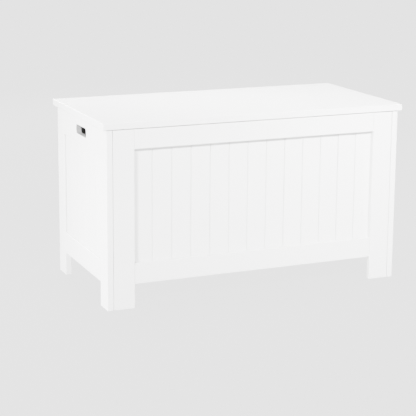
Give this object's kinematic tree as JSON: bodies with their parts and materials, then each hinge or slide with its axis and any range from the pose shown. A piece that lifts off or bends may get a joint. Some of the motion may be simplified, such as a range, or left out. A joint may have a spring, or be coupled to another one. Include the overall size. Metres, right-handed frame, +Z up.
{
  "type": "wooden toy box",
  "caption": "White boarded wooden toy box on four legs, with a hinged lid held open by two folding stays and a hand hole in each side.",
  "frame": {"origin": "on the floor under the middle of the lid", "axes": "+X to the right side seen from the front, +Y to the back, +Z up; the front faces -Y"},
  "size_m": [0.81, 0.4, 0.46],
  "materials": {
    "white_paint": "satin white paint over fibreboard",
    "inner_paint": "thin white paint inside",
    "zinc_steel": "bright zinc plate",
    "bumper_rubber": "matt rubber"
  },
  "bodies": {
    "carcass": {"back_board": "white_paint", "back_cleat": "inner_paint", "base_panel": "inner_paint", "front_bottom_rail": "white_paint", "front_cleat": "inner_paint", "front_left_stile": "white_paint", "front_panel": "white_paint", "front_right_stile": "white_paint", "front_top_rail": "white_paint", "left_bottom_rail": "white_paint", "left_bumper": "bumper_rubber", "left_cleat": "inner_paint", "left_corner_batten": "inner_paint", "left_front_stile": "white_paint", "left_hinge_lower_leaf": "zinc_steel", "left_hinge_lower_screw_1": "zinc_steel", "left_hinge_lower_screw_2": "zinc_steel", "left_hinge_pin": "zinc_steel", "left_lower_cam_lock": "zinc_steel", "left_rear_stile": "white_paint", "left_side_panel": "white_paint", "left_stay_wall_bracket": "zinc_steel", "left_stay_wall_screw_1": "zinc_steel", "left_stay_wall_screw_2": "zinc_steel", "left_top_rail": "white_paint", "left_upper_cam_lock": "zinc_steel", "right_bottom_rail": "white_paint", "right_bumper": "bumper_rubber", "right_cleat": "inner_paint", "right_corner_batten": "inner_paint", "right_front_stile": "white_paint", "right_hinge_lower_leaf": "zinc_steel", "right_hinge_lower_screw_1": "zinc_steel", "right_hinge_lower_screw_2": "zinc_steel", "right_hinge_pin": "zinc_steel", "right_lower_cam_lock": "zinc_steel", "right_rear_stile": "white_paint", "right_side_panel": "white_paint", "right_stay_wall_bracket": "zinc_steel", "right_stay_wall_screw_1": "zinc_steel", "right_stay_wall_screw_2": "zinc_steel", "right_top_rail": "white_paint", "right_upper_cam_lock": "zinc_steel"},
    "lid": {"left_hinge_upper_leaf": "zinc_steel", "left_hinge_upper_screw_1": "zinc_steel", "left_hinge_upper_screw_2": "zinc_steel", "left_stay_lid_bracket": "zinc_steel", "left_stay_lid_screw_1": "zinc_steel", "left_stay_lid_screw_2": "zinc_steel", "lid": "white_paint", "right_hinge_upper_leaf": "zinc_steel", "right_hinge_upper_screw_1": "zinc_steel", "right_hinge_upper_screw_2": "zinc_steel", "right_stay_lid_bracket": "zinc_steel", "right_stay_lid_screw_1": "zinc_steel", "right_stay_lid_screw_2": "zinc_steel"},
    "left_lower_arm": {"left_stay_lower_arm": "zinc_steel"},
    "left_upper_arm": {"left_stay_upper_arm": "zinc_steel"},
    "right_lower_arm": {"right_stay_lower_arm": "zinc_steel"},
    "right_upper_arm": {"right_stay_upper_arm": "zinc_steel"}
  },
  "joints": [
    {"name": "lid_hinge", "type": "hinge", "parent": "carcass", "child": "lid", "pos_m": [0, 0.1948, 0.4402], "axis": [-1, 0, 0], "range_deg": [0, 95]},
    {"name": "left_stay_wall_pivot", "type": "hinge", "parent": "carcass", "child": "left_lower_arm", "pos_m": [-0.37715, 0.1597, 0.35018], "axis": [-1, 0, 0], "range_deg": [0, 95]},
    {"name": "left_stay_lid_pivot", "type": "hinge", "parent": "lid", "child": "left_upper_arm", "pos_m": [-0.37535, 0.0986, 0.4312], "axis": [1, 0, 0], "range_deg": [0, 95]},
    {"name": "right_stay_wall_pivot", "type": "hinge", "parent": "carcass", "child": "right_lower_arm", "pos_m": [0.37715, 0.1597, 0.35018], "axis": [-1, 0, 0], "range_deg": [0, 95]},
    {"name": "right_stay_lid_pivot", "type": "hinge", "parent": "lid", "child": "right_upper_arm", "pos_m": [0.37535, 0.0986, 0.4312], "axis": [1, 0, 0], "range_deg": [0, 95]}
  ],
  "couplings": [
    {"joint": "left_stay_wall_pivot", "follows": "lid_hinge", "ratio": 1},
    {"joint": "left_stay_lid_pivot", "follows": "lid_hinge", "ratio": 1},
    {"joint": "right_stay_wall_pivot", "follows": "lid_hinge", "ratio": 1},
    {"joint": "right_stay_lid_pivot", "follows": "lid_hinge", "ratio": 1}
  ]
}
